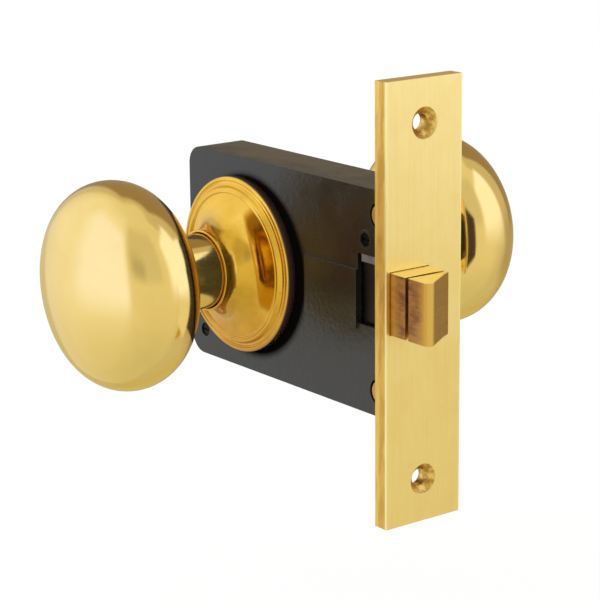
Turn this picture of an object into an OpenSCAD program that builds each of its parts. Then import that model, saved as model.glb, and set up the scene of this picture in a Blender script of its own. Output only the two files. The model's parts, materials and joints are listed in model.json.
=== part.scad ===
// Mortise passage latch set with two oval knobs.
// Origin: centre of the faceplate's back, which is the face that seats on the door edge.
// +X points out of the door edge, Y runs along the spindle with the near knob at -Y, +Z is up.

/* [Faceplate] */
// Width of the faceplate
plate_w = 25.4; // [25:0.1:26]
// Height of the faceplate
plate_h = 120; // [112:0.5:130]
// Thickness of the faceplate
plate_t = 4.7; // [4.2:0.1:5]
// Distance between the two screw holes
screw_spacing = 96.5; // [90:0.5:100]
// Through diameter of a screw hole
screw_hole_d = 4.8; // [4:0.1:5.5]
// Mouth diameter of the countersink
countersink_d = 8.6; // [7.6:0.1:9.4]

/* [Case] */
// Length of the case behind the faceplate
case_l = 89; // [88:0.5:95]
// Height of the case
case_h = 61.5; // [61:0.5:68]
// Thickness of the case
case_t = 15.5; // [15.5:0.1:16.5]
// Middle of the case thickness, measured from the middle of the faceplate
case_mid = -1.9; // [-2.1:0.1:-1.8]
// Radius of the two rear corners
corner_r = 5.5; // [4:0.5:8]
// Thickness of the edge walls
wall_t = 2; // [1.6:0.1:2]
// Thickness of the front wall
front_wall_t = 4; // [3.5:0.1:4]
// Thickness of the far side of the case
floor_t = 1.6; // [1.2:0.1:1.6]
// Thickness of the cover on the near side
cover_t = 1.5; // [1.5:0.1:1.8]
// Height of the raised panel above the cover
panel_rise = 0.7; // [0.3:0.1:1]
// Length of the raised panel
panel_l = 22.6; // [16:0.2:23]
// Height of the raised panel
panel_h = 16.3; // [14:0.1:17]

/* [Lugs] */
// Height of the lugs above and below the middle
lug_z = 23.9; // [23.8:0.1:25]
// Radius of a lug
lug_r = 3; // [2.4:0.1:3]
// Gap between a lug and the notch that it sits in
lug_gap = 0.65; // [0.4:0.05:0.65]
// How far the centre of a lug lies behind the faceplate
lug_set = 2.2; // [2:0.1:2.4]
// Diameter of a lug pin
lug_pin_d = 1.6; // [1.2:0.1:1.8]

/* [Latch] */
// Width of the latch head
latch_w = 13; // [12:0.1:13]
// Height of the latch head
latch_h = 16.8; // [15.5:0.1:17]
// Middle of the latch head across its width
latch_mid = -5; // [-5:0.1:-4.6]
// Height of the middle of the latch head
latch_z = 1.95; // [1.7:0.05:2.1]
// How far the latch base stands out of the faceplate
base_out = 6.1; // [5.6:0.1:6.4]
// Gap between the latch base and the nose at their near side
nose_gap = 1.1; // [0.8:0.05:1.2]
// How much wider that gap is at their far side, which lets the nose rock
nose_open = 0.6; // [0.4:0.1:0.8]
// Thickness of the nose along its flat side
nose_l = 6.9; // [6.5:0.1:7.1]
// Radius of the rounded nose
nose_r = 1.6; // [1.2:0.1:2]
// Angle of the latch bevel from the face of the plate
bevel_angle = 33; // [31:1:34]
// Diameter of the pin that the nose rocks on
nose_pin_d = 2; // [1.6:0.1:2.2]

/* [Knobs] */
// Distance from the faceplate's back to the spindle
backset = 63.5; // [62:0.1:64]
// Largest radius of a knob
knob_r = 29.05; // [27:0.05:30]
// Height of the knob in front of its widest circle
knob_front = 16.6; // [15.5:0.1:18]
// Height of the knob behind its widest circle
knob_back = 16.05; // [15.5:0.05:17]
// Small radius of the knob's edge, front half
edge_front_r = 13.2; // [11:0.1:14]
// Small radius of the knob's edge, back half
edge_back_r = 13.6; // [11:0.1:14]
// Distance of the near knob's widest circle from the middle of the faceplate
knob_near = 51.3; // [50:0.1:56]
// Distance of the far knob's widest circle from the middle of the faceplate
knob_far = 62.2; // [60:0.1:70]
// Radius of the neck
neck_r = 10.6; // [10:0.1:10.7]
// Across the flats of the square spindle
spindle_w = 7.94; // [7.5:0.01:8]
// Diameter of a set screw
set_screw_d = 4; // [3:0.1:5]

/* [Roses] */
// Outer radius of a rose
rose_r = 25.2; // [24:0.1:27]
// Height of a rose's rim above the side of the case
rose_t = 2.8; // [2.6:0.1:3.2]
// Radius of the hole in a rose
rose_hole_r = 10.8; // [10.8:0.05:11]
// Outer radius of the collar that rises round the neck
rose_collar_r = 11.5; // [11.4:0.1:12]
// Height of the collar's end above the side of the case
rose_collar_t = 13.85; // [13.3:0.05:14.5]
// Radius of the cove that turns the dish of a rose into its collar
rose_cove_r = 8; // [7:0.1:9]

/* [Mechanism] */
// Turn of the knobs that draws the latch flush
knob_turn = 60; // [59:1:64]
// Radius of a hub arm's round tip
arm_r = 2.5; // [2.2:0.1:2.5]
// Radius of the hub barrel
hub_r = 8.5; // [8:0.1:8.8]
// Radius of the hub journals
journal_r = 7.5; // [7:0.1:7.6]
// Thickness of the yoke and the hub arms
yoke_t = 3; // [2:0.1:3.2]
// Diameter of the tail rod
rod_d = 4; // [3:0.1:4.4]
// Middle radius of the latch spring
spring_r = 3.5; // [3.4:0.1:3.6]
// Wire diameter of the latch spring
wire_d = 0.9; // [0.7:0.1:1]
// Turns of the latch spring
spring_turns = 9; // [7:1:11]

/* [Fits] */
// Clearance around pins, rods and journals
running_gap = 0.05; // [0.02:0.01:0.1]
// Clearance around the latch head and inside the case
slide_gap = 0.15; // [0.1:0.05:0.3]

/* [Hidden] */
$fn = 96;

// Length that a cut runs past the surface it leaves
past = 1;

// Case: planes across its thickness, near to far
cover_y = case_mid - case_t / 2;
inside_near_y = cover_y + cover_t;
far_y = case_mid + case_t / 2;
inside_far_y = far_y - floor_t;
inside_z = case_h / 2 - wall_t;

// Cover screws
screw_head_r = 1.9;
screw_head_t = 0.6;
screw_sink = 0.95;
screw_shank_r = 1.25;
screw_l = 7;
screw_slot_w = 0.6;
screw_slot_t = 0.35;
screw_post_r = 2.6;
ring_r = 2.6;
ring_rise = 0.35;
front_screw = [-7.6, 16.7];
lower_screw_in = 6.5;
lower_screw_up = 7.25;
lower_screw = [-case_l + lower_screw_in, -case_h / 2 + lower_screw_up];
upper_screw_in = 4.25;
upper_screw_up = 7.7;
upper_screw = [-case_l + upper_screw_in, upper_screw_up];
screw_spots = [front_screw, upper_screw, lower_screw];

// Lugs: how far their ends lie inside the sides of the case, and half the length of their pins
lug_inset = 0.15;
lug_pin_half = 5.4;

// Latch: limits of the head, and where it stands along X
head_near = latch_mid - latch_w / 2;
head_far = latch_mid + latch_w / 2;
head_low = latch_z - latch_h / 2;
head_high = latch_z + latch_h / 2;
base_in = 0.7;
base_front = plate_t + base_out;
base_back = plate_t - base_in;
nose_back = base_front + nose_gap;
nose_front = nose_back + nose_l + nose_r / 2;
latch_travel = nose_front - plate_t;

// Window in the case that the head passes on its way back
window_back = base_back - latch_travel - slide_gap;
window_low = head_low - slide_gap;
window_high = head_high + slide_gap;
window_far = head_far + slide_gap;

// Pivot of the nose, the knuckle around it and the slot that the knuckle rocks in
nose_pin_in = 3.2;
nose_pin_side = 1;
nose_pin_x = base_front - nose_pin_in;
nose_pin_y = latch_mid - nose_pin_side;
nose_pin_end = 2.5;
knuckle_r = 2.3;
knuckle_half = 4;
knuckle_low = latch_z - knuckle_half;
knuckle_high = latch_z + knuckle_half;
web_half = 1.6;
heel_in = 2.6;
heel_t = 0.6;
heel_side = 0.3;
slot_side = 0.35;
slot_end = 0.3;

// Shank behind the head, as high as the head, which runs inside the case
shank_near = inside_near_y + slide_gap;
shank_far = head_far - 0.5;

// Guide tab above the head
guide_near = cover_y + 0.4;
guide_far = inside_far_y;
guide_t = 2.1;
guide_l = 9.5;
guide_front_gap = 0.3;

// Hub arms: they lean forward at rest, so that the pull on the latch stays nearly even
arm_lean = 0.4 * knob_turn;
arm_reach = latch_travel / (sin(knob_turn - arm_lean) + sin(arm_lean));
arm_w = 3;

// Yoke: spine behind the shank, two bars, and two catches behind the hub arms
yoke_mid = case_mid;
yoke_front = -12.5;
spine_t = 3;
bar_in = arm_reach + arm_r + 0.4;
bar_t = 2.4;
catch_gap = 0.4;
catch_front = -backset + arm_reach * sin(arm_lean) - arm_r - catch_gap;
catch_t = 3.5;
catch_in = arm_reach * cos(knob_turn - arm_lean);

// Tail rod, its collar and the spring seat
rod_front = -8;
rod_back = -28;
collar_r = 3.6;
collar_t = 1.5;
seat_front = -43.4;
seat_t = 2;
seat_half = 4.3;
spring_end_gap = 0.1;

// Hub barrel and journals
end_play = 0.1;
hub_near = inside_near_y + end_play;
hub_far = inside_far_y - end_play;

// Knobs, necks and spindle
knob_seat = 4.1;
neck_gap = 0.55;
neck_near_end = cover_y - neck_gap;
neck_far_end = far_y + neck_gap;
neck_near_top = -(knob_near - knob_back + knob_seat);
neck_far_top = knob_far - knob_back + knob_seat;
spindle_seat = 6;
square_w = spindle_w + 2 * running_gap;
set_screw_near_y = (cover_y - rose_collar_t - knob_near + knob_back) / 2;
set_screw_far_y = (far_y + rose_collar_t + knob_far - knob_back) / 2;
set_screw_sink = 0.5;
socket_depth = 1.6;
socket_r = 0.3 * set_screw_d;

// Rose profile: radii and heights above the case of the groove, the ring and the edge of the dish
rose_wall = 1.9;
rose_round = rose_t - rose_wall;
rose_groove_r = 23.2;
rose_groove_half = 0.7;
rose_ring_out = 22.2;
rose_ring_r = 21.2;
rose_ring_rise = 1.05;
rose_dish_r = 20.6;
rose_dish_rise = 0.9;
rose_slope = 14;
rose_peg_r = 1.5;
rose_peg_l = 1.2;
rose_peg_z = 18;

// Box between two opposite corners
module between(low, high) {
    translate(low) cube(high - low);
}

// Round bar along Y from y0 to y1
module bar_y(r, y0, y1) {
    translate([0, y0, 0]) rotate([-90, 0, 0]) cylinder(h = y1 - y0, r = r);
}

// Round bar along Z from z0 to z1
module bar_z(r, z0, z1) {
    translate([0, 0, z0]) cylinder(h = z1 - z0, r = r);
}

// Round bar along X from x0 to x1
module bar_x(r, x0, x1) {
    translate([x0, 0, 0]) rotate([0, 90, 0]) cylinder(h = x1 - x0, r = r);
}

// Side view of the case with its rounded rear corners, as a slab from y0 to y1
module case_slab(y0, y1, inset) {
    r = corner_r - inset;
    x0 = -case_l + inset;
    z1 = case_h / 2 - inset;
    between([x0 + r, y0, -z1], [0, y1, z1]);
    between([x0, y0, -z1 + r], [x0 + r, y1, z1 - r]);
    for (side = [-1, 1]) translate([x0 + r, 0, side * (z1 - r)]) bar_y(r, y0, y1);
}

// Round notches at the front edge of the case, right through its thickness
module lug_notches() {
    for (side = [-1, 1]) translate([-lug_set, 0, side * lug_z])
        bar_y(lug_r + lug_gap, cover_y - past, far_y + past);
}

// Hole for a hub journal, from y0 to y1
module journal_hole(y0, y1) {
    translate([-backset, 0, 0]) bar_y(journal_r + running_gap, y0, y1);
}

// Pegs of a rose, or their holes with a gap
module rose_pegs(y0, y1, gap) {
    for (side = [-1, 1]) translate([-backset, 0, side * rose_peg_z]) bar_y(rose_peg_r + gap, y0, y1);
}

// Holes for the two lug pins, or the pins themselves
module lug_pin(side, gap) {
    translate([-lug_set, case_mid, side * lug_z])
        bar_z(lug_pin_d / 2 + gap, -lug_pin_half - gap, lug_pin_half + gap);
}

module case_body() {
    color("#2e2c28") difference() {
        union() {
            difference() {
                case_slab(inside_near_y, far_y, 0);
                intersection() {
                    case_slab(inside_near_y - past, inside_far_y, wall_t);
                    between([-case_l, inside_near_y - past, -case_h], [-front_wall_t, far_y, case_h]);
                }
            }
            for (spot = screw_spots) translate([spot[0], 0, spot[1]])
                bar_y(screw_post_r, inside_near_y, inside_far_y + floor_t / 2);
        }
        for (spot = screw_spots) translate([spot[0], 0, spot[1]])
            bar_y(screw_shank_r + running_gap, inside_near_y - past, inside_near_y + screw_l);
        between([-front_wall_t - past, inside_near_y - past, window_low], [past, window_far, window_high]);
        between([-front_wall_t - past, inside_near_y - past, window_low],
            [past, guide_far + running_gap, window_high + guide_t + running_gap]);
        lug_notches();
        lug_pin(1, running_gap);
        lug_pin(-1, running_gap);
        journal_hole(inside_far_y - past, far_y + past);
        rose_pegs(far_y - rose_peg_l - running_gap, far_y + past, running_gap);
    }
}

module case_cover() {
    panel_front = window_back;
    color("#312f2b") difference() {
        union() {
            case_slab(cover_y, inside_near_y, 0);
            between([panel_front - panel_l, cover_y - panel_rise, -panel_h / 2],
                [panel_front, cover_y + cover_t / 2, panel_h / 2]);
            translate([front_screw[0], 0, front_screw[1]])
                bar_y(ring_r, cover_y - ring_rise, cover_y + cover_t / 2);
        }
        between([window_back, cover_y - past - panel_rise, window_low],
            [past, inside_near_y + past, window_high + guide_t + running_gap]);
        for (spot = screw_spots) translate([spot[0], 0, spot[1]]) {
            bar_y(screw_head_r + running_gap, cover_y - past, cover_y + screw_sink);
            bar_y(screw_shank_r + running_gap, cover_y - past, inside_near_y + past);
        }
        lug_notches();
        journal_hole(cover_y - past, inside_near_y + past);
        rose_pegs(cover_y - past, cover_y + rose_peg_l + running_gap, running_gap);
    }
}

// Cheese-head screw with a driver slot, sunk in the cover
module cover_screw(spot) {
    head_y = cover_y + screw_sink - screw_head_t;
    translate([spot[0], 0, spot[1]]) difference() {
        union() {
            bar_y(screw_head_r, head_y, cover_y + screw_sink);
            bar_y(screw_shank_r, cover_y + screw_sink - past / 2, inside_near_y + screw_l - past);
        }
        between([-screw_head_r - past, head_y - past, -screw_slot_w / 2],
            [screw_head_r + past, head_y + screw_slot_t, screw_slot_w / 2]);
    }
}

module cover_screw_front() {
    color("#26241f") cover_screw(screw_spots[0]);
}

module cover_screw_upper() {
    color("#26241f") cover_screw(screw_spots[1]);
}

module cover_screw_lower() {
    color("#26241f") cover_screw(screw_spots[2]);
}

module faceplate() {
    sink = (countersink_d - screw_hole_d) / 2;
    color("#d9b45a") difference() {
        union() {
            between([0, -plate_w / 2, -plate_h / 2], [plate_t, plate_w / 2, plate_h / 2]);
            for (side = [-1, 1]) translate([0, 0, side * lug_z]) {
                translate([-lug_set, 0, 0]) bar_y(lug_r, cover_y + lug_inset, far_y - lug_inset);
                between([-lug_set, cover_y + lug_inset, -lug_r], [plate_t / 2, far_y - lug_inset, lug_r]);
            }
        }
        for (side = [-1, 1]) translate([0, 0, side * screw_spacing / 2]) {
            bar_x(screw_hole_d / 2, -past, plate_t + past);
            translate([plate_t - sink, 0, 0]) rotate([0, 90, 0])
                cylinder(h = sink + past, r1 = screw_hole_d / 2, r2 = countersink_d / 2 + past);
        }
        between([-past, head_near - slide_gap, window_low], [plate_t + past, window_far, window_high]);
        lug_pin(1, running_gap);
        lug_pin(-1, running_gap);
    }
}

module lug_pin_upper() {
    color("#9a9892") lug_pin(1, 0);
}

module lug_pin_lower() {
    color("#9a9892") lug_pin(-1, 0);
}

module latch_guide() {
    color("#b8b4aa") between([-guide_l - guide_front_gap, guide_near, window_high],
        [-guide_front_gap, guide_far, window_high + guide_t]);
}

module spring_seat() {
    color("#8f8d88") difference() {
        between([seat_front - seat_t, yoke_mid - seat_half, -seat_half],
            [seat_front, inside_far_y, seat_half]);
        translate([0, yoke_mid, 0])
            bar_x(rod_d / 2 + running_gap, seat_front - seat_t - past, seat_front + past);
    }
}

// Open coil between the collar and the seat: rings of points along a helix, joined in strips
module latch_spring() {
    ring_n = 18;
    side_n = 8;
    r = wire_d / 2;
    x0 = seat_front + r + spring_end_gap;
    x1 = yoke_front - spine_t - collar_t - r - spring_end_gap;
    steps = spring_turns * ring_n;
    points = [for (i = [0 : steps], j = [0 : side_n - 1])
        let (a = 360 * i / ring_n, b = 360 * j / side_n, d = spring_r + r * cos(b))
        [x0 + (x1 - x0) * i / steps + r * sin(b), yoke_mid + d * cos(a), d * sin(a)]];
    strips = [for (i = [0 : steps - 1], j = [0 : side_n - 1])
        let (k = (j + 1) % side_n, p = i * side_n, q = p + side_n)
        each [[p + j, q + j, q + k], [p + j, q + k, p + k]]];
    start = [for (j = [0 : side_n - 1]) j];
    finish = [for (j = [side_n - 1 : -1 : 0]) steps * side_n + j];
    color("#a9a7a2") polyhedron(points = points, faces = concat(strips, [start, finish]));
}

// Outline of a rose: radius across, height above the case up. The dish slopes up to the foot of
// the cove, and the cove ends on the collar.
module rose_outline() {
    dish_t = rose_t + rose_dish_rise;
    foot_r = rose_collar_r + rose_cove_r * (1 - sin(rose_slope));
    foot_t = dish_t + (rose_dish_r - foot_r) * tan(rose_slope);
    cove_t = foot_t + rose_cove_r * cos(rose_slope);
    difference() {
        union() {
            square([rose_r, rose_wall]);
            square([rose_r - rose_round, rose_t]);
            translate([rose_r - rose_round, rose_wall]) circle(r = rose_round);
            polygon([[0, 0], [rose_ring_out, 0], [rose_ring_out, rose_t],
                [rose_ring_r, rose_t + rose_ring_rise], [rose_dish_r, dish_t], [foot_r, foot_t],
                [rose_collar_r, cove_t], [rose_collar_r, rose_collar_t], [0, rose_collar_t]]);
        }
        translate([0, -past]) square([rose_hole_r, rose_collar_t + 2 * past]);
        translate([rose_collar_r + rose_cove_r, cove_t]) circle(r = rose_cove_r);
        translate([rose_groove_r, rose_t]) circle(r = rose_groove_half);
    }
}

// Solid of a rose standing on the plane y0; toward is -1 for the near side and 1 for the far side
module rose(y0, toward) {
    translate([-backset, y0, 0]) rotate([toward * -90, 0, 0]) rotate_extrude() rose_outline();
    rose_pegs(min(y0, y0 - toward * rose_peg_l), max(y0, y0 - toward * rose_peg_l), 0);
}

module rose_near() {
    color("#d79a2b") rose(cover_y, -1);
}

module rose_far() {
    color("#d79a2b") rose(far_y, 1);
}

// Radius of the flat arc that meets a small edge arc smoothly
function flat_radius(rim, height, small) =
    (pow(rim - small, 2) + height * height - small * small) / (2 * (height - small));

// Quarter outline of a knob: widest radius across, height up
module half_oval(rim, height, small) {
    big = flat_radius(rim, height, small);
    meet = rim - small + small * (rim - small) / (big - small);
    intersection() {
        translate([0, height - big]) circle(r = big);
        square([meet, height]);
    }
    intersection() {
        translate([rim - small, 0]) circle(r = small);
        square([rim, height]);
    }
}

// Solid oval knob whose front points along +Z, with its widest circle at Z = 0
module knob() {
    difference() {
        rotate_extrude() {
            half_oval(knob_r, knob_front, edge_front_r);
            mirror([0, 1]) half_oval(knob_r, knob_back, edge_back_r);
        }
        translate([0, 0, -knob_back - past]) cylinder(h = knob_seat + past, r = neck_r + running_gap);
        between([-square_w / 2, -square_w / 2, -knob_back],
            [square_w / 2, square_w / 2, -spindle_seat + running_gap]);
    }
}

module knob_near() {
    color("#e0ae3c") translate([-backset, -knob_near, 0]) rotate([90, 0, 0]) knob();
}

module knob_far() {
    color("#e0ae3c") translate([-backset, knob_far, 0]) rotate([-90, 0, 0]) knob();
}

// Neck from y0 to y1 with its square hole and a set screw hole underneath
module neck(y0, y1, screw_y) {
    translate([-backset, 0, 0]) difference() {
        bar_y(neck_r, y0, y1);
        between([-square_w / 2, y0 - past, -square_w / 2], [square_w / 2, y1 + past, square_w / 2]);
        translate([0, screw_y, 0]) bar_z(set_screw_d / 2 + running_gap, -neck_r - past, 0);
    }
}

module neck_near() {
    color("#d9a53a") neck(neck_near_top, neck_near_end, set_screw_near_y);
}

module neck_far() {
    color("#d9a53a") neck(neck_far_end, neck_far_top, set_screw_far_y);
}

// Set screw with a hexagon socket, bearing on the spindle from below
module set_screw(y) {
    low = -neck_r + set_screw_sink;
    translate([-backset, y, 0]) difference() {
        bar_z(set_screw_d / 2, low, -spindle_w / 2);
        translate([0, 0, low - past]) cylinder(h = past + socket_depth, r = socket_r, $fn = 6);
    }
}

module set_screw_near() {
    color("#3a3936") set_screw(set_screw_near_y);
}

module set_screw_far() {
    color("#3a3936") set_screw(set_screw_far_y);
}

module spindle() {
    near = -(knob_near - spindle_seat);
    far = knob_far - spindle_seat;
    color("#a3a19b") between([-backset - spindle_w / 2, near, -spindle_w / 2],
        [-backset + spindle_w / 2, far, spindle_w / 2]);
}

module hub() {
    y0 = yoke_mid - yoke_t / 2;
    y1 = yoke_mid + yoke_t / 2;
    color("#9b8a5a") translate([-backset, 0, 0]) difference() {
        union() {
            bar_y(hub_r, hub_near, hub_far);
            bar_y(journal_r, cover_y + end_play, far_y - end_play);
            for (angle = [arm_lean, 180 - arm_lean]) rotate([0, angle, 0]) {
                between([-arm_w / 2, y0, 0], [arm_w / 2, y1, arm_reach]);
                translate([0, 0, arm_reach]) bar_y(arm_r, y0, y1);
            }
        }
        between([-square_w / 2, cover_y - past, -square_w / 2], [square_w / 2, far_y + past, square_w / 2]);
    }
}

// Base of the bolt: head in the faceplate, shank in the case, slot and bore for the nose
module latch_base() {
    color("#b98a3c") difference() {
        union() {
            between([base_back, head_near, head_low], [base_front, head_far, head_high]);
            between([yoke_front, shank_near, head_low], [base_back + past, shank_far, head_high]);
        }
        nose_knuckle(slot_side, slot_end);
        translate([nose_pin_x, nose_pin_y, 0])
            bar_z(nose_pin_d / 2 + running_gap, head_low - past, knuckle_high + nose_pin_end + running_gap);
        translate([0, yoke_mid, 0]) bar_x(rod_d / 2 + running_gap, yoke_front - past, rod_front + running_gap);
    }
}

// Knuckle of the nose and its web; side and end gaps turn it into the slot that it rocks in
module nose_knuckle(side, end) {
    translate([nose_pin_x, nose_pin_y, 0]) {
        bar_z(knuckle_r + side, knuckle_low - end, knuckle_high + end);
        between([0, -web_half - side, knuckle_low - end],
            [nose_back - nose_pin_x + past / 2, web_half + side, knuckle_high + end]);
    }
}

// Flat side toward -Y, rounded nose, and a bevel that falls back toward +Y
module latch_nose() {
    tip_x = nose_front - nose_r;
    tip_y = head_near + nose_r;
    bevel_start = tip_x + nose_r * cos(bevel_angle);
    bevel_y = tip_y + nose_r * sin(bevel_angle);
    heel_x = bevel_start - (head_far - heel_in - bevel_y) * tan(bevel_angle);
    color("#c4923c") difference() {
        union() {
            translate([0, 0, head_low]) linear_extrude(height = latch_h) polygon([
                [nose_back, head_near], [tip_x, head_near], [tip_x, tip_y], [bevel_start, bevel_y],
                [heel_x, head_far - heel_in], [nose_back + nose_open + heel_t, head_far - heel_side],
                [nose_back + nose_open, head_far - heel_side]]);
            translate([tip_x, tip_y, 0]) bar_z(nose_r, head_low, head_high);
            nose_knuckle(0, 0);
        }
        translate([nose_pin_x, nose_pin_y, 0])
            bar_z(nose_pin_d / 2 + running_gap, knuckle_low - past, knuckle_high + past);
    }
}

module nose_pin() {
    color("#8c8a84") translate([nose_pin_x, nose_pin_y, 0])
        bar_z(nose_pin_d / 2, head_low + running_gap, knuckle_high + nose_pin_end);
}

module tail_rod() {
    color("#a3a19b") translate([0, yoke_mid, 0]) {
        bar_x(rod_d / 2, rod_back, rod_front);
        bar_x(collar_r, yoke_front - spine_t - collar_t, yoke_front - spine_t);
    }
}

module yoke() {
    y0 = yoke_mid - yoke_t / 2;
    y1 = yoke_mid + yoke_t / 2;
    top = bar_in + bar_t;
    color("#8f8d88") difference() {
        union() {
            between([yoke_front - spine_t, y0, -top], [yoke_front, y1, top]);
            between([yoke_front - spine_t, yoke_mid - collar_r, -collar_r],
                [yoke_front, yoke_mid + collar_r, collar_r]);
            for (side = [-1, 1]) {
                between([catch_front - catch_t, y0, min(side * bar_in, side * top)],
                    [yoke_front, y1, max(side * bar_in, side * top)]);
                between([catch_front - catch_t, y0, min(side * catch_in, side * top)],
                    [catch_front, y1, max(side * catch_in, side * top)]);
            }
        }
        translate([0, yoke_mid, 0])
            bar_x(rod_d / 2 + running_gap, yoke_front - spine_t - past, yoke_front + past);
    }
}

case_body();
case_cover();
cover_screw_front();
cover_screw_upper();
cover_screw_lower();
faceplate();
lug_pin_upper();
lug_pin_lower();
latch_guide();
spring_seat();
latch_spring();
rose_near();
rose_far();
hub();
spindle();
knob_near();
knob_far();
neck_near();
neck_far();
set_screw_near();
set_screw_far();
latch_base();
tail_rod();
yoke();
nose_pin();
latch_nose();
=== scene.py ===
import json
import math

import bmesh
import bpy
import numpy as np
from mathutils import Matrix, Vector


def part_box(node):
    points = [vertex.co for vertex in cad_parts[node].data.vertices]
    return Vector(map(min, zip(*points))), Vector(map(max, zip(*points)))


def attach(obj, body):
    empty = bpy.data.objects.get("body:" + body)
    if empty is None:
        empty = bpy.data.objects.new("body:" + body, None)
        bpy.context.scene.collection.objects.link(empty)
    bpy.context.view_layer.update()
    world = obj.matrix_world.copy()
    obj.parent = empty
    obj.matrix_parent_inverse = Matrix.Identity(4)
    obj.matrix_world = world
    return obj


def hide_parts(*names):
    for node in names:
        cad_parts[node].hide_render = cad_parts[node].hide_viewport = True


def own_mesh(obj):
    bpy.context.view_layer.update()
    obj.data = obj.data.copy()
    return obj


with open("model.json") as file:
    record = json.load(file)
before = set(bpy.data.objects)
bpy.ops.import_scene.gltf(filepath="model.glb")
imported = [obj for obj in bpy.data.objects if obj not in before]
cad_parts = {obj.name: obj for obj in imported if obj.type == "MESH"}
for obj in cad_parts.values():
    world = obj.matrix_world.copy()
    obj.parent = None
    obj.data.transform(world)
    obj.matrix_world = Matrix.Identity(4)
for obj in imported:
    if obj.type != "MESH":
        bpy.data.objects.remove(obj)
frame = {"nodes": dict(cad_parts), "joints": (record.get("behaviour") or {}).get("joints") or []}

# Lengths are in metres along the frame's axes, and colours are linear RGB
scene = bpy.context.scene
scene.view_settings.view_transform = "Standard"
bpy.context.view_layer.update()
joints = {joint["name"]: joint for joint in frame["joints"]}

# Camera
# A long lens, a little above the latch and well round to the faceplate's side. It looks at a
# point inside the case, and is turned by about half a degree.
camera_azimuth = math.radians(52.888)
camera_height = math.radians(14.55)
camera_roll = math.radians(-0.576)
camera_distance = 0.61143
camera_target = np.array([-0.049152, 0.0, -0.00953])

camera_data = bpy.data.cameras.new("camera")
camera_data.lens = 129.75
camera_data.sensor_width = 36.0
camera_data.clip_start = 0.01
camera_data.clip_end = 20.0
camera = bpy.data.objects.new("camera", camera_data)
scene.collection.objects.link(camera)
scene.camera = camera

away = np.array([
    math.sin(camera_azimuth) * math.cos(camera_height),
    -math.cos(camera_azimuth) * math.cos(camera_height),
    math.sin(camera_height),
])
level_right = np.cross(-away, [0.0, 0.0, 1.0])
level_right /= np.linalg.norm(level_right)
level_up = np.cross(level_right, -away)
right = math.cos(camera_roll) * level_right + math.sin(camera_roll) * level_up
up = np.cross(away, right)
placed = np.eye(4)
placed[:3, 0] = right
placed[:3, 1] = up
placed[:3, 2] = away
placed[:3, 3] = camera_target + away * camera_distance
camera.matrix_world = placed.T.tolist()


# Studio
# A bright room with a wide soft light on the near knob's side, a shaded patch
# beside the camera, and a dim far side with a dark doorway and low brown walls behind the
# case. It is the world, so what the metal reflects is the same from every side.
def link(nodes, source, target):
    nodes.id_data.links.new(source, target)


def math_node(nodes, operation, first, second=None, third=None, clamp=False):
    """One Math node; a number goes on its socket and a socket is linked to it."""
    node = nodes.new("ShaderNodeMath")
    node.operation = operation
    node.use_clamp = clamp
    for socket, value in zip(node.inputs, (first, second, third)):
        if value is None:
            continue
        if isinstance(value, (int, float)):
            socket.default_value = value
        else:
            link(nodes, value, socket)
    return node.outputs[0]


def mix_colours(nodes, factor, first, second, blend="MIX"):
    """One colour Mix node; tuples go on its sockets and sockets are linked to it."""
    node = nodes.new("ShaderNodeMix")
    node.data_type = "RGBA"
    node.blend_type = blend
    for index, value in ((0, factor), (6, first), (7, second)):
        socket = node.inputs[index]
        if isinstance(value, (int, float)):
            socket.default_value = value
        elif isinstance(value, tuple):
            socket.default_value = (*value, 1.0)
        else:
            link(nodes, value, socket)
    return node.outputs[2]


def axes_of(nodes, vector):
    """The X, Y and Z of a vector."""
    node = nodes.new("ShaderNodeSeparateXYZ")
    link(nodes, vector, node.inputs[0])
    return node.outputs


def show_mix(nodes, output_kind, factor, first, second):
    """A new output node that shows the first shader where factor is 0, the second where 1."""
    both = nodes.new("ShaderNodeMixShader")
    for socket, source in zip(both.inputs, (factor, first, second)):
        link(nodes, source, socket)
    link(nodes, both.outputs[0], nodes.new(output_kind).inputs["Surface"])


def soft_step(nodes, value, start, end):
    """0 before start, 1 after end, and a smooth rise between them."""
    node = nodes.new("ShaderNodeMapRange")
    node.interpolation_type = "SMOOTHSTEP"
    node.inputs["From Min"].default_value = start
    node.inputs["From Max"].default_value = end
    link(nodes, value, node.inputs["Value"])
    return node.outputs["Result"]


def sky_patch(nodes, heading, height, headings, heights, soft):
    """A patch of the room between two headings and two heights, in degrees, with soft sides."""
    rise = math_node(nodes, "MULTIPLY",
                     soft_step(nodes, heading, headings[0] - soft, headings[0] + soft),
                     soft_step(nodes, height, heights[0] - soft, heights[0] + soft))
    fall = math_node(nodes, "MULTIPLY",
                     soft_step(nodes, heading, headings[1] + soft, headings[1] - soft),
                     soft_step(nodes, height, heights[1] + soft, heights[1] - soft))
    return math_node(nodes, "MULTIPLY", rise, fall)


world = bpy.data.worlds.new("studio")
scene.world = world
world.use_nodes = True
sky = world.node_tree.nodes
sky.clear()
x, y, z = axes_of(sky, sky.new("ShaderNodeTexCoord").outputs["Generated"])
heading = math_node(sky, "DEGREES", math_node(sky, "ARCTAN2", y, x))
height = math_node(sky, "DEGREES", math_node(sky, "ARCSINE", z))

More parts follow.
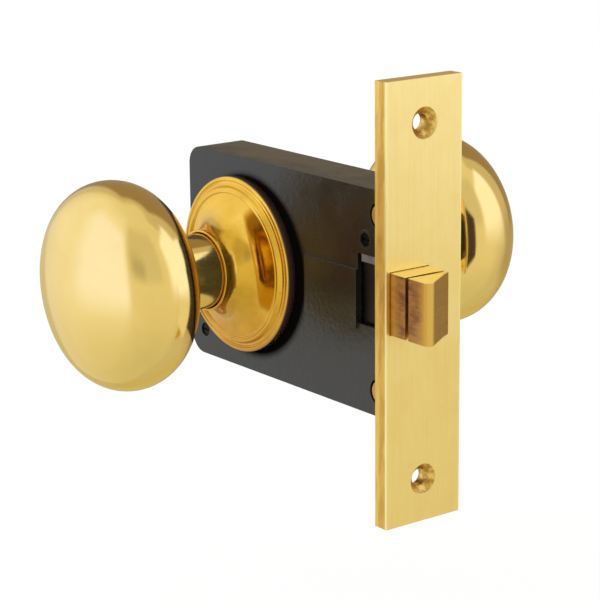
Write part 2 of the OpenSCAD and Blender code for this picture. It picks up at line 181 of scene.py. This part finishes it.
# Each patch covers the ones before it: headings, heights, softness (degrees), strength, light
room_patches = {
    "far_floor": ((40.0, 230.0), (-95.0, -8.0), 18.0, 0.8, (0.66, 0.66, 0.58)),
    "warm_wall": ((90.0, 185.0), (-75.0, -5.0), 24.0, 1.0, (0.67, 0.61, 0.29)),
    "wide_light": ((-172.0, -82.0), (-22.0, 66.0), 16.0, 0.75, (1.08, 1.16, 1.35)),
    "side_light": ((-136.0, -81.0), (-14.0, 46.0), 9.0, 1.0, (1.12, 1.24, 1.85)),
    "camera_side": ((-74.0, 2.0), (12.0, 64.0), 8.0, 0.9, (0.73, 0.73, 0.64)),
    "lens_shade": ((-66.0, -38.0), (14.0, 32.0), 8.0, 0.9, (0.54, 0.54, 0.46)),
    "dim_side": ((50.0, 176.0), (-8.0, 72.0), 5.0, 1.0, (0.68, 0.66, 0.58)),
    "doorway": ((92.0, 162.0), (-8.0, 63.0), 4.0, 1.0, (0.36, 0.29, 0.21)),
    "brown_wall": ((66.0, 150.0), (-34.0, 2.0), 12.0, 0.7, (0.42, 0.36, 0.22)),
}
low_room = (0.72, 0.73, 0.60)
high_room = (0.88, 0.88, 0.76)
room = mix_colours(sky, soft_step(sky, height, -75.0, -15.0), low_room, high_room)
for name, (headings, heights, soft, strength, light) in room_patches.items():
    patch = sky_patch(sky, heading, height, headings, heights, soft)
    room = mix_colours(sky, math_node(sky, "MULTIPLY", patch, strength), room, light)
    room.node.label = name

path = sky.new("ShaderNodeLightPath")
lit = sky.new("ShaderNodeBackground")
link(sky, room, lit.inputs["Color"])
seen = sky.new("ShaderNodeBackground")
seen.inputs["Color"].default_value = (1.0, 1.0, 1.0, 1.0)
show_mix(sky, "ShaderNodeOutputWorld", path.outputs["Is Camera Ray"], lit.outputs[0], seen.outputs[0])


# Light box, card and flag
# Upright sheets near the set, which only the metal and
# the paint see, each from its own side. The light box stands to the right of the camera. The
# card, in a low and a high part, stands beside the faceplate and lights the near knob's back
# edge, and the dark flag stands on the plate's other side and shades the far knob's.
def glowing_sheet(name, corners, low_light, high_light, change, fade):
    """A sheet through four corners, counted round from the lower left as its own side sees
    them. Its light changes from low_light to high_light over the two shares of its height in
    change, and grows from nothing over the share in fade at its left, right, low and high edge."""
    mesh = bpy.data.meshes.new(name)
    mesh.from_pydata(corners, [], [(0, 1, 2, 3)])
    across = mesh.uv_layers.new(name="across")
    for corner, place in enumerate(((0.0, 0.0), (1.0, 0.0), (1.0, 1.0), (0.0, 1.0))):
        across.data[corner].uv = place
    sheet = bpy.data.objects.new(name, mesh)
    scene.collection.objects.link(sheet)
    sheet.visible_camera = False
    sheet.visible_diffuse = False
    sheet.visible_shadow = False
    material = bpy.data.materials.new(name)
    material.use_nodes = True
    nodes = material.node_tree.nodes
    nodes.clear()
    place = nodes.new("ShaderNodeUVMap")
    place.uv_map = "across"
    share = axes_of(nodes, place.outputs[0])
    behind = nodes.new("ShaderNodeNewGeometry").outputs["Backfacing"]
    mask = math_node(nodes, "SUBTRACT", 1.0, behind)
    left, right, low, high = fade
    edges = (("X", 0.0, left), ("X", 1.0, 1.0 - right), ("Y", 0.0, low), ("Y", 1.0, 1.0 - high))
    for axis, start, end in edges:
        if start != end:
            inside = soft_step(nodes, share[axis], start, end)
            mask = math_node(nodes, "MULTIPLY", inside, mask)
    light = nodes.new("ShaderNodeEmission")
    rise = soft_step(nodes, share["Y"], *change)
    link(nodes, mix_colours(nodes, rise, low_light, high_light), light.inputs["Color"])
    clear = nodes.new("ShaderNodeBsdfTransparent")
    show_mix(nodes, "ShaderNodeOutputMaterial", mask, clear.outputs[0], light.outputs[0])
    mesh.materials.append(material)


box_light = (1.20, 1.33, 1.8)
card_foot_light = (0.92, 0.92, 0.80)
flag_dark = (0.075, 0.05, 0.065)
whole_height = (0.0, 1.0)

box_low = -0.085
box_left = (0.060, 0.294)
box_right = (0.330, 0.041)
glowing_sheet("light_box",
              [(*box_left, box_low), (*box_right, box_low), (*box_right, 0.44), (*box_left, 0.52)],
              box_light, box_light, change=whole_height, fade=(0.13, 0.31, 0.32, 0.18))

card_y = -0.0145
card_rear = -0.025
card_front = 0.016
card_joint = 0.010
card_foot = -0.042
glowing_sheet("card_low",
              [(card_rear, card_y, card_foot), (card_front, card_y, card_foot),
               (card_front, card_y, card_joint), (card_rear, card_y, card_joint)],
              card_foot_light, box_light, change=(0.62, 0.92), fade=(0.08, 0.1, 0.1, 0.0))
glowing_sheet("card_high",
              [(card_rear, card_y, card_joint), (card_front, card_y, card_joint),
               (card_front, card_y, 0.075), (-0.040, card_y, 0.032)],
              box_light, box_light, change=whole_height, fade=(0.06, 0.1, 0.0, 0.1))

flag_y = 0.0127
flag_rear = 0.0055
flag_front = 0.078
flag_low = -0.060
flag_high = 0.050
glowing_sheet("flag",
              [(flag_front, flag_y, flag_low), (flag_rear, flag_y, flag_low),
               (flag_rear, flag_y, flag_high), (flag_front, flag_y, flag_high)],
              flag_dark, flag_dark, change=whole_height, fade=(0.25, 0.03, 0.15, 0.12))


# Floor
# A white sheet below the set, lit by the room. The camera sees it as the white
# background with a faint soft shadow of the set. The polished metal doesn't see it.
floor_level = -0.105
floor_reach = 0.7
glow_share = 0.86

corners = [(-1.0, -1.0), (1.0, -1.0), (1.0, 1.0), (-1.0, 1.0)]
floor_mesh = bpy.data.meshes.new("floor")
floor_mesh.from_pydata([(x * floor_reach, y * floor_reach, floor_level) for x, y in corners],
                       [], [(0, 1, 2, 3)])
floor = bpy.data.objects.new("floor", floor_mesh)
scene.collection.objects.link(floor)
floor.visible_glossy = False

floor_paint = bpy.data.materials.new("floor_white")
floor_paint.use_nodes = True
nodes = floor_paint.node_tree.nodes
nodes.clear()
path = nodes.new("ShaderNodeLightPath")
matt = nodes.new("ShaderNodeBsdfDiffuse")
matt.inputs["Color"].default_value = (0.9, 0.9, 0.9, 1.0)
glow = nodes.new("ShaderNodeEmission")
glow.inputs["Color"].default_value = (1.0, 1.0, 1.0, 1.0)
glow.inputs["Strength"].default_value = 1.06
glowing = math_node(nodes, "MULTIPLY", path.outputs["Is Camera Ray"], glow_share)
show_mix(nodes, "ShaderNodeOutputMaterial", glowing, matt.outputs[0], glow.outputs[0])
floor_mesh.materials.append(floor_paint)


# Shared effects of the finishes
# Fine scratches from wiping and polishing, and the cloudy
# stain that lacquered brass gets. Both put out masks that the materials use as they need.
def new_group(name, inputs, outputs):
    """An empty shader node group with named sockets, its nodes, and its two ends."""
    group = bpy.data.node_groups.new(name, "ShaderNodeTree")
    for label, kind, value in inputs:
        socket = group.interface.new_socket(name=label, in_out="INPUT", socket_type=kind)
        if value is not None:
            socket.default_value = value
    for label, kind in outputs:
        group.interface.new_socket(name=label, in_out="OUTPUT", socket_type=kind)
    start = group.nodes.new("NodeGroupInput")
    end = group.nodes.new("NodeGroupOutput")
    return group, group.nodes, start, end


def noise(nodes, vector, scale, detail=3.0, roughness=0.55, distortion=0.0):
    """One Noise Texture read at a vector; its mask output."""
    node = nodes.new("ShaderNodeTexNoise")
    for label, value in (("Scale", scale), ("Detail", detail), ("Roughness", roughness),
                         ("Distortion", distortion)):
        if isinstance(value, (int, float)):
            node.inputs[label].default_value = value
        else:
            link(nodes, value, node.inputs[label])
    link(nodes, vector, node.inputs["Vector"])
    return node.outputs["Fac"]


def stretched(nodes, vector, scale):
    """The vector with each axis scaled by its own number."""
    node = nodes.new("ShaderNodeMapping")
    node.inputs["Scale"].default_value = scale
    link(nodes, vector, node.inputs["Vector"])
    return node.outputs[0]


scratch_group, nodes, start, end = new_group(
    "wiping_scratches", [("Vector", "NodeSocketVector", None)], [("Mask", "NodeSocketFloat")])
fine_lines = []
for scale in ((2600.0, 90.0, 90.0), (90.0, 120.0, 2400.0), (900.0, 1500.0, 60.0)):
    line = noise(nodes, stretched(nodes, start.outputs["Vector"], scale), 1.0, 2.0)
    fine_lines.append(soft_step(nodes, line, 0.62, 0.74))
mask = math_node(nodes, "MAXIMUM", fine_lines[1], fine_lines[2])
mask = math_node(nodes, "MAXIMUM", fine_lines[0], mask)
link(nodes, mask, end.inputs["Mask"])

stain_group, nodes, start, end = new_group(
    "lacquer_stain", [("Vector", "NodeSocketVector", None), ("Size", "NodeSocketFloat", 40.0)],
    [("Cloud", "NodeSocketFloat"), ("Specks", "NodeSocketFloat")])
cloud = noise(nodes, start.outputs["Vector"], start.outputs["Size"], 4.0, 0.6, 0.4)
link(nodes, soft_step(nodes, cloud, 0.38, 0.68), end.inputs["Cloud"])
speck = noise(nodes, start.outputs["Vector"], 900.0, 2.0, 0.5)
link(nodes, soft_step(nodes, speck, 0.66, 0.74), end.inputs["Specks"])


def put_group(nodes, group, vector, **values):
    """Places a node group, links its vector and sets its named numbers; its outputs."""
    node = nodes.new("ShaderNodeGroup")
    node.node_tree = group
    link(nodes, vector, node.inputs["Vector"])
    for label, value in values.items():
        node.inputs[label].default_value = value
    return node.outputs


def new_finish(name):
    """A material with a Principled BSDF, its nodes, the shader and the Object coordinates."""
    material = bpy.data.materials.new(name)
    material.use_nodes = True
    nodes = material.node_tree.nodes
    shader = nodes["Principled BSDF"]
    place = nodes.new("ShaderNodeTexCoord").outputs["Object"]
    return material, nodes, shader, place


def add_bump(nodes, shader, height, strength, distance):
    """A Bump node from a height mask to the shader's normal."""
    bump = nodes.new("ShaderNodeBump")
    bump.inputs["Strength"].default_value = strength
    bump.inputs["Distance"].default_value = distance
    link(nodes, height, bump.inputs["Height"])
    link(nodes, bump.outputs["Normal"], shader.inputs["Normal"])


# Knobs
# Two oval brass shells, spun and polished, then lacquered. The front is a flat dome
# that turns over a full round edge, and the back draws in to the neck. The near knob's back
# is darker in a ring just behind its rim.
def brass_finish(name, bright, deep, stain, gloss, wave):
    """Polished brass: stain mixes the bright and the deep tone; scratches add a little blur.
    The material, and its nodes, shader, coordinates and colour for what a piece adds to it."""
    material, nodes, shader, place = new_finish(name)
    shader.inputs["Metallic"].default_value = 1.0
    cloud = put_group(nodes, stain_group, place, Size=38.0)
    scratch = put_group(nodes, scratch_group, place)["Mask"]
    tone = math_node(nodes, "MULTIPLY", cloud["Cloud"], stain)
    tone = math_node(nodes, "ADD", tone, math_node(nodes, "MULTIPLY", cloud["Specks"], stain * 0.5))
    colour = mix_colours(nodes, tone, bright, deep)
    link(nodes, colour, shader.inputs["Base Color"])
    blur = math_node(nodes, "MULTIPLY_ADD", scratch, 0.05, gloss)
    blur = math_node(nodes, "MULTIPLY_ADD", cloud["Cloud"], 0.05, blur)
    link(nodes, blur, shader.inputs["Roughness"])
    height = math_node(nodes, "ADD", noise(nodes, place, 60.0, 2.0),
                       math_node(nodes, "MULTIPLY", scratch, -0.004))
    add_bump(nodes, shader, height, wave, 0.002)
    return material, nodes, shader, place, colour


spindle_x = joints["knob_turn"]["pos_m"][0]
weld = 1e-6


def turned(name, radius, along, centre, toward, finish):
    """A turned piece: the profile (radius, along) goes round the spindle's line, and along is
    measured from centre towards -Y (toward -1) or +Y (toward 1). The closed profile is joined
    to itself, so that the skin has no open edge."""
    segments = 256
    angle = np.linspace(0.0, 2.0 * np.pi, segments, endpoint=False)
    x = spindle_x + radius[:, None] * np.cos(angle)[None, :]
    z = radius[:, None] * np.sin(angle)[None, :]
    y = np.broadcast_to((centre + toward * along)[:, None], x.shape)
    points = np.stack([x, y, z], axis=-1).reshape(-1, 3)
    rows = len(radius)
    i, j = np.meshgrid(np.arange(rows), np.arange(segments), indexing="ij")
    a = i * segments + j
    b = i * segments + (j + 1) % segments
    c = ((i + 1) % rows) * segments + (j + 1) % segments
    d = ((i + 1) % rows) * segments + j
    faces = np.stack([a, b, c, d], axis=-1).reshape(-1, 4)
    mesh = bpy.data.meshes.new(name)
    mesh.from_pydata(points.tolist(), [], faces.tolist())
    work = bmesh.new()
    work.from_mesh(mesh)
    bmesh.ops.remove_doubles(work, verts=work.verts, dist=weld)
    bmesh.ops.recalc_face_normals(work, faces=work.faces)
    work.to_mesh(mesh)
    work.free()
    mesh.materials.append(finish)
    mesh.shade_smooth()
    piece = bpy.data.objects.new(name, mesh)
    scene.collection.objects.link(piece)
    return piece


def both_sides(name, height):
    """Where height 0 lies along Y on the near and on the far piece, whose outermost points
    stand at that height, and which way each of the two looks."""
    near_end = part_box(f"{name}_near")[0].y
    far_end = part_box(f"{name}_far")[1].y
    return {"near": (near_end + height, -1.0), "far": (far_end - height, 1.0)}


knob_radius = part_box("knob_near")[1].z
knob_front = 0.0166
knob_back = 0.01605
front_edge = 0.0132
back_edge = 0.0136
arc_points = 64
socket_radius = 0.0110
socket_depth = 0.0041
lip = 0.0005
knob_places = both_sides("knob", knob_front)


def half_oval(rim, height, edge, count):
    """Points of a half dome: a flat arc from the axis that runs smoothly into the small edge
    arc of radius edge, which ends at the rim. The angle of the normal is spaced evenly."""
    flat = ((rim - edge) ** 2 + height ** 2 - edge ** 2) / (2.0 * (height - edge))
    meet = math.asin((rim - edge) / (flat - edge))
    t = np.concatenate([np.linspace(0.0, meet, count // 2, endpoint=False),
                        np.linspace(meet, np.pi / 2.0, count // 2)])
    on_flat = t < meet
    radius = np.where(on_flat, flat * np.sin(t), rim - edge + edge * np.sin(t))
    along = np.where(on_flat, height - flat + flat * np.cos(t), edge * np.cos(t))
    return radius, along


front_r, front_h = half_oval(knob_radius, knob_front, front_edge, arc_points)
back_r, back_h = half_oval(knob_radius, knob_back, back_edge, arc_points)
outside_lip = back_r > socket_radius + lip
back_r = back_r[outside_lip][::-1][1:]
back_h = -back_h[outside_lip][::-1][1:]
quarter = np.linspace(0.0, np.pi / 2.0, 5)
lip_r = socket_radius + lip * np.cos(quarter)
lip_h = back_h[-1] + lip * np.sin(quarter)
socket_floor = socket_depth - knob_back
knob_r = np.concatenate([front_r, back_r, lip_r, [socket_radius, 0.0]])
knob_h = np.concatenate([front_h, back_h, lip_h, [socket_floor, socket_floor]])

# Y from untouched to fully darkened, on the rim's side of the ring and on the neck's side
ring_rim_side = (-0.0458, -0.0446)
ring_neck_side = (-0.0390, -0.0440)
knob_finish, nodes, shader, place, colour = brass_finish(
    "knob_brass", (0.90, 0.65, 0.22), (0.80, 0.53, 0.15), stain=0.35, gloss=0.09, wave=0.03)
x, y, z = axes_of(nodes, place)
dark_back_ring = math_node(nodes, "MULTIPLY", soft_step(nodes, y, *ring_rim_side),
                         soft_step(nodes, y, *ring_neck_side))
darkened_back_colour = mix_colours(nodes, 1.0, colour, (0.44, 0.35, 0.42), "MULTIPLY")
link(nodes, mix_colours(nodes, dark_back_ring, colour, darkened_back_colour), shader.inputs["Base Color"])
for side, (centre, toward) in knob_places.items():
    knob = turned(f"knob_shell_{side}", knob_r, knob_h, centre, toward, knob_finish)
    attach(knob, "knobs")
    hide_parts(f"knob_{side}")


# Necks
# Plain turned brass bars that run from a socket in each knob through the collar of
# its rose, and are held on the square spindle by a set screw underneath.
def dress(names, finish):
    """Gives one finish to the CAD nodes that keep their own mesh."""
    for name in names:
        materials = frame["nodes"][name].data.materials
        materials.clear()
        materials.append(finish)


neck_finish = brass_finish("neck_brass", (0.86, 0.60, 0.17), (0.72, 0.44, 0.10),
                           stain=0.4, gloss=0.1, wave=0.02)[0]
dress(("neck_near", "neck_far"), neck_finish)


# Roses
# Stamped brass dishes on the case, with a rounded rim, rolled rings inside it, and a
# slope that sweeps up to the collar round the neck. The lacquer on them has gone a deeper
# gold. Painted light makes the upper half paler and painted shade makes the lower half
# deeper, and the wall of the rim is painted dark brown and barely metallic as shade.
rose_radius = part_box("rose_near")[1].x - spindle_x
rose_height = 0.0028
rose_hole = 0.0108
rim_round = 0.0009
collar_radius = 0.0115
collar_top = 0.01385
cove = 0.008
dish_slope = math.radians(14.0)
dish_radius = 0.0206
dish_height = 0.0037
ring_radius = 0.0241
wide_roll = 0.0006
fine_roll = 0.00018
rose_places = both_sides("rose", collar_top)

rose_finish, nodes, shader, place, colour = brass_finish(
    "rose_brass", (0.80, 0.47, 0.06), (0.58, 0.29, 0.03), stain=0.75, gloss=0.12, wave=0.05)
x, y, z = axes_of(nodes, place)
# Painted light and shade: paler towards the top, deeper towards the bottom
painted_shade_below = soft_step(nodes, z, 0.018, -0.022)
painted_light_above = mix_colours(nodes, 1.0, colour, (1.16, 1.22, 1.15), "MULTIPLY")
painted_shade_colour = mix_colours(nodes, 1.0, colour, (0.84, 0.76, 0.72), "MULTIPLY")
colour = mix_colours(nodes, painted_shade_below, painted_light_above, painted_shade_colour)


def reach_from(nodes, first, first_middle, second, second_middle):
    """Distance from a line that runs along one axis, given the other two coordinates."""
    first = math_node(nodes, "SUBTRACT", first, first_middle)
    second = math_node(nodes, "SUBTRACT", second, second_middle)
    square = math_node(nodes, "MULTIPLY", second, second)
    return math_node(nodes, "SQRT", math_node(nodes, "MULTIPLY_ADD", first, first, square))


# Painted shade on the wall of the rim: dark brown, and almost no metal in the shader
reach = reach_from(nodes, x, spindle_x, z, 0.0)
wall_shade = soft_step(nodes, reach, rose_radius - 0.00025, rose_radius - 0.00005)
link(nodes, mix_colours(nodes, wall_shade, colour, (0.10, 0.055, 0.045)), shader.inputs["Base Color"])
link(nodes, math_node(nodes, "MULTIPLY_ADD", wall_shade, -0.8, 1.0), shader.inputs["Metallic"])


def rose_profile():
    """Radius and height of a rose from the hole outwards: the collar with its rounded lip,
    the cove, the sloping dish, the rolled rings and the rounded rim. Over the rings, where s
    goes from 0 to 1, the height is a straight line plus wide_roll sin(2 pi s) and fine_roll
    sin(6 pi s), which both get a fifth lower towards the rim."""
    round_top = np.linspace(-np.pi / 2.0, np.pi / 2.0, 14)
    lip_half = (collar_radius - rose_hole) / 2.0
    lip_r = rose_hole + lip_half + lip_half * np.sin(round_top)
    lip_h = collar_top - lip_half + lip_half * np.cos(round_top)
    t = np.linspace(np.pi / 2.0, dish_slope, 40)
    cove_r = collar_radius + cove - cove * np.sin(t)
    foot_h = dish_height + math.tan(dish_slope) * (dish_radius - cove_r[-1])
    cove_h = foot_h + cove * (math.cos(dish_slope) - np.cos(t))
    dish_r = np.linspace(cove_r[-1], dish_radius, 12)[1:]
    dish_h = dish_height + math.tan(dish_slope) * (dish_radius - dish_r)
    ring_r = np.linspace(dish_radius, ring_radius, 60)[1:]
    s = (ring_r - dish_radius) / (ring_radius - dish_radius)
    rolls = wide_roll * np.sin(2.0 * np.pi * s) + fine_roll * np.sin(6.0 * np.pi * s)
    ring_h = dish_height + (rose_height - dish_height) * s + rolls * (1.0 - 0.2 * s)
    edge = np.linspace(0.0, np.pi / 2.0, 12)
    edge_r = rose_radius - rim_round + rim_round * np.sin(edge)
    edge_h = rose_height - rim_round + rim_round * np.cos(edge)
    radius = np.concatenate([[rose_hole], lip_r, cove_r, dish_r, ring_r, edge_r, [rose_radius]])
    height = np.concatenate([[0.0], lip_h, cove_h, dish_h, ring_h, edge_h, [0.0]])
    return radius, height


rose_r, rose_h = rose_profile()
for side, (centre, toward) in rose_places.items():
    rose = turned(f"rose_dish_{side}", rose_r, rose_h, centre, toward, rose_finish)
    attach(rose, "case")
    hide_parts(f"rose_{side}")


# Case
# A cast tray and a pressed cover, both painted black all over before the brass parts
# go on. The paint is satin and a little uneven, and a painted shadow lies on it round each
# rose: a ring of dull black with no shine, set off towards the faceplate's side.
painted_shadow_middle = (spindle_x + 0.0038, 0.0)
painted_shadow_radius = 0.0263
painted_shadow_soft = 0.0014
flat_angle = math.radians(1.0)
sharp_angle = math.radians(30.0)


def eased(name, node_name, width, finish):
    """A copy of a CAD node whose sharp edges are rounded: doubles merged, flat faces joined,
    and a narrow bevel along every edge of more than the sharp angle."""
    mesh = frame["nodes"][node_name].data.copy()
    mesh.name = name
    mesh.materials.clear()
    work = bmesh.new()
    work.from_mesh(mesh)
    bmesh.ops.remove_doubles(work, verts=work.verts, dist=2.0 * weld)
    bmesh.ops.dissolve_limit(work, angle_limit=flat_angle, verts=work.verts, edges=work.edges)
    work.to_mesh(mesh)
    work.free()
    mesh.materials.append(finish)
    piece = bpy.data.objects.new(name, mesh)
    scene.collection.objects.link(piece)
    bevel = piece.modifiers.new("eased_edges", "BEVEL")
    bevel.width = width
    bevel.segments = 2
    bevel.limit_method = "ANGLE"
    bevel.angle_limit = sharp_angle
    bevel.use_clamp_overlap = True
    mesh.shade_smooth()
    even = piece.modifiers.new("even_faces", "WEIGHTED_NORMAL")
    even.mode = "FACE_AREA"
    even.weight = 100
    return piece


def paint_finish(name, colour, gloss):
    """Satin black paint: cloudy tone, an orange-peel skin, scattered dull specks, and the ring
    of painted shadow, which has no shine."""
    material, nodes, shader, place = new_finish(name)
    shader.inputs["Specular Tint"].default_value = (1.0, 0.93, 0.76, 1.0)
    dust = put_group(nodes, stain_group, place, Size=55.0)
    lighter = tuple(1.5 * value for value in colour)
    tone = math_node(nodes, "MULTIPLY", dust["Cloud"], 0.35)
    tone = math_node(nodes, "MULTIPLY_ADD", dust["Specks"], 0.35, tone)
    paint = mix_colours(nodes, tone, colour, lighter)
    blur = math_node(nodes, "MULTIPLY_ADD", dust["Cloud"], 0.12, gloss)
    link(nodes, blur, shader.inputs["Roughness"])
    x, y, z = axes_of(nodes, place)
    # Painted shadow round each rose: inside the ring the paint is near black and has no shine
    reach = reach_from(nodes, x, painted_shadow_middle[0], z, painted_shadow_middle[1])
    outside_shadow = soft_step(nodes, reach, painted_shadow_radius - painted_shadow_soft, painted_shadow_radius + painted_shadow_soft)
    colour = mix_colours(nodes, outside_shadow, (0.004, 0.0035, 0.003), paint)
    link(nodes, colour, shader.inputs["Base Color"])
    link(nodes, math_node(nodes, "MULTIPLY", outside_shadow, 0.5), shader.inputs["Specular IOR Level"])
    peel = noise(nodes, place, 700.0, 2.0)
    add_bump(nodes, shader, peel, 0.12, 0.0005)
    return material


case_finish = paint_finish("case_black", (0.015, 0.013, 0.010), gloss=0.2)
tray = eased("case_tray", "case_body", 0.0004, case_finish)
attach(tray, "case")
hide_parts("case_body")
cover = eased("case_lid", "case_cover", 0.00025, case_finish)
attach(cover, "case")
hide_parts("case_cover")


# Faceplate
# A thick brass bar, milled and brushed lengthwise on its face, with two
# countersunk screw holes. Its sides are darker and browner, with painted shade in their
# lower half, its edges are just broken and carry a painted highlight, and the lugs on its
# back are browner.
def brushed_finish(name, bright, deep, gloss, grain):
    """Satin brass: grain is the scale of the brush lines on each axis; they vary the tone,
    the roughness and the height. Gives back the same things as brass_finish."""
    material, nodes, shader, place = new_finish(name)
    shader.inputs["Metallic"].default_value = 1.0
    lines = noise(nodes, stretched(nodes, place, grain), 1.0, 3.0, 0.65)
    cloud = put_group(nodes, stain_group, place, Size=70.0)
    tone = math_node(nodes, "MULTIPLY_ADD", soft_step(nodes, lines, 0.35, 0.7), 0.25,
                     math_node(nodes, "MULTIPLY", cloud["Cloud"], 0.35))
    colour = mix_colours(nodes, tone, bright, deep)
    link(nodes, colour, shader.inputs["Base Color"])
    link(nodes, math_node(nodes, "MULTIPLY_ADD", lines, 0.12, gloss), shader.inputs["Roughness"])
    add_bump(nodes, shader, lines, 0.08, 0.0002)
    return material, nodes, shader, place, colour


plate_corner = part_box("faceplate")[1]
plate_front = plate_corner.x
plate_half = plate_corner.y
hole_height = 0.04825
sink_radius = 0.00422
plate_finish, nodes, shader, place, colour = brushed_finish(
    "plate_brass", (0.96, 0.73, 0.27), (0.91, 0.635, 0.18), gloss=0.36, grain=(300.0, 1500.0, 60.0))
x, y, z = axes_of(nodes, place)

# The sides: streaks along the saw cut and browner in a band along the middle, with painted shade
# darkening the lower half
saw_marks = noise(nodes, stretched(nodes, place, (420.0, 1.0, 70.0)), 1.0, 4.0, 0.6)
middle_band = math_node(nodes, "MULTIPLY", soft_step(nodes, x, 0.0010, 0.0022),
                        soft_step(nodes, x, 0.0041, 0.0032))
side_darkening = math_node(nodes, "MULTIPLY_ADD", middle_band, 0.45, soft_step(nodes, saw_marks, 0.4, 0.7))
painted_shade_below = soft_step(nodes, z, -0.005, -0.020)
side_darkening = math_node(nodes, "MULTIPLY_ADD", painted_shade_below, 0.2, side_darkening, clamp=True)
side_colour = mix_colours(nodes, side_darkening, (0.88, 0.58, 0.125), (0.62, 0.355, 0.055))
from_middle = math_node(nodes, "ABSOLUTE", y)
on_side = soft_step(nodes, from_middle, plate_half - 0.00022, plate_half - 0.00006)
colour = mix_colours(nodes, on_side, colour, side_colour)

# A painted highlight on the front edges, the browner lugs behind, and the darker, mottled
# countersinks
painted_edge_highlight = math_node(nodes, "MULTIPLY",
                   soft_step(nodes, from_middle, plate_half - 0.0005, plate_half - 0.0003),
                   soft_step(nodes, x, plate_front - 0.0009, plate_front - 0.0004))
colour = mix_colours(nodes, painted_edge_highlight, colour, (0.98, 0.80, 0.34))
on_lug = soft_step(nodes, x, -0.0001, -0.0003)
colour = mix_colours(nodes, on_lug, colour, (0.55, 0.31, 0.07))
either_hole = math_node(nodes, "ABSOLUTE", z)
reach = reach_from(nodes, y, 0.0, either_hole, hole_height)
drill_marks = soft_step(nodes, noise(nodes, place, 520.0, 3.0, 0.6), 0.38, 0.62)
sink_colour = mix_colours(nodes, drill_marks, (0.90, 0.62, 0.17), (0.50, 0.27, 0.05))
# The countersinks are darker and mottled
in_sink = soft_step(nodes, reach, sink_radius + 0.0001, sink_radius - 0.0001)
colour = mix_colours(nodes, in_sink, colour, sink_colour)
link(nodes, colour, shader.inputs["Base Color"])
plate = eased("face_bar", "faceplate", 0.00045, plate_finish)
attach(plate, "case")
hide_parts("faceplate")


# Latch
# A cast brass base that slides in the plate, and the rocking nose in front of it,
# with a flat side, a rounded tip and a long bevel. The sides are browner and streaked, and
# lighter towards the tip and next to the plate, the rounded tip carries a painted highlight,
# the top and bottom are brighter, and the shank inside the case is near black.
nose_low_corner, nose_high_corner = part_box("latch_nose")
latch_top = nose_high_corner.z
latch_low = nose_low_corner.z
latch_side = nose_low_corner.y
tip_end = -0.0090
latch_finish, nodes, shader, place, colour = brushed_finish(
    "latch_brass", (0.55, 0.28, 0.03), (0.37, 0.16, 0.012), gloss=0.3, grain=(160.0, 160.0, 1100.0))
mould_marks = noise(nodes, stretched(nodes, place, (170.0, 170.0, 420.0)), 1.0, 4.0, 0.6)
mould_marks = soft_step(nodes, mould_marks, 0.36, 0.66)
side_brown = mix_colours(nodes, mould_marks, (0.44, 0.21, 0.05), (0.24, 0.095, 0.035))
x, y, z = axes_of(nodes, place)
# Painted highlight along the rounded tip
tip_highlight = soft_step(nodes, y, tip_end + 0.0002, tip_end - 0.0002)
colour = mix_colours(nodes, tip_highlight, colour, (0.78, 0.48, 0.11))
# The sides get lighter towards the tip and, half as much, next to the plate
near_tip = soft_step(nodes, x, 0.0150, 0.0190)
near_plate = math_node(nodes, "MULTIPLY", soft_step(nodes, x, 0.0095, 0.0060), 0.5)
lighter_ends = math_node(nodes, "MAXIMUM", near_tip, near_plate)
side_brown = mix_colours(nodes, lighter_ends, side_brown, (0.62, 0.33, 0.05))
on_side = soft_step(nodes, y, latch_side + 0.0005, latch_side + 0.0001)
colour = mix_colours(nodes, on_side, colour, side_brown)
# The top and bottom faces are brighter
bright_top_bottom = math_node(nodes, "MAXIMUM", soft_step(nodes, z, latch_top - 0.0002, latch_top - 0.00005),
                  soft_step(nodes, z, latch_low + 0.0002, latch_low + 0.00005))
colour = mix_colours(nodes, bright_top_bottom, colour, (0.97, 0.78, 0.28))
# The part of the base inside the case is near black
inner_dark = soft_step(nodes, x, 0.0030, 0.0022)
colour = mix_colours(nodes, inner_dark, colour, (0.045, 0.038, 0.03))
link(nodes, colour, shader.inputs["Base Color"])
base = eased("bolt_base", "latch_base", 0.0002, latch_finish)
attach(base, "bolt")
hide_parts("latch_base")
nose = eased("bolt_nose", "latch_nose", 0.0002, latch_finish)
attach(nose, "nose")
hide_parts("latch_nose")


# Parts inside the case and the small screws
# A cast brass hub, zinc-plated strip, rod and
# wire with a fine grain, and blackened screws. The latch spring gets a mesh of its own.
def steel_finish(name, colour, gloss):
    """Plated steel: fine drawn lines and a cloudy dulling."""
    material, nodes, shader, place = new_finish(name)
    shader.inputs["Metallic"].default_value = 1.0
    lines = noise(nodes, stretched(nodes, place, (200.0, 1200.0, 1200.0)), 1.0, 2.0)
    cloud = put_group(nodes, stain_group, place, Size=120.0)["Cloud"]
    darker = tuple(0.6 * value for value in colour)
    link(nodes, mix_colours(nodes, cloud, colour, darker), shader.inputs["Base Color"])
    link(nodes, math_node(nodes, "MULTIPLY_ADD", lines, 0.15, gloss), shader.inputs["Roughness"])
    add_bump(nodes, shader, lines, 0.1, 0.0002)
    return material


dress(("latch_guide",), steel_finish("dull_steel", (0.26, 0.25, 0.24), gloss=0.4))
dress(("lug_pin_upper", "lug_pin_lower", "spring_seat", "latch_spring", "spindle", "tail_rod",
       "yoke", "nose_pin"),
      steel_finish("bright_steel", (0.56, 0.55, 0.52), gloss=0.3))
dress(("cover_screw_front", "cover_screw_upper", "cover_screw_lower", "set_screw_near",
       "set_screw_far"),
      steel_finish("dark_steel", (0.018, 0.016, 0.014), gloss=0.4))
hub_brass = brushed_finish("hub_brass", (0.72, 0.47, 0.15), (0.50, 0.29, 0.08),
                           gloss=0.4, grain=(300.0, 300.0, 300.0))[0]
dress(("hub",), hub_brass)

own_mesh(frame["nodes"]["latch_spring"])
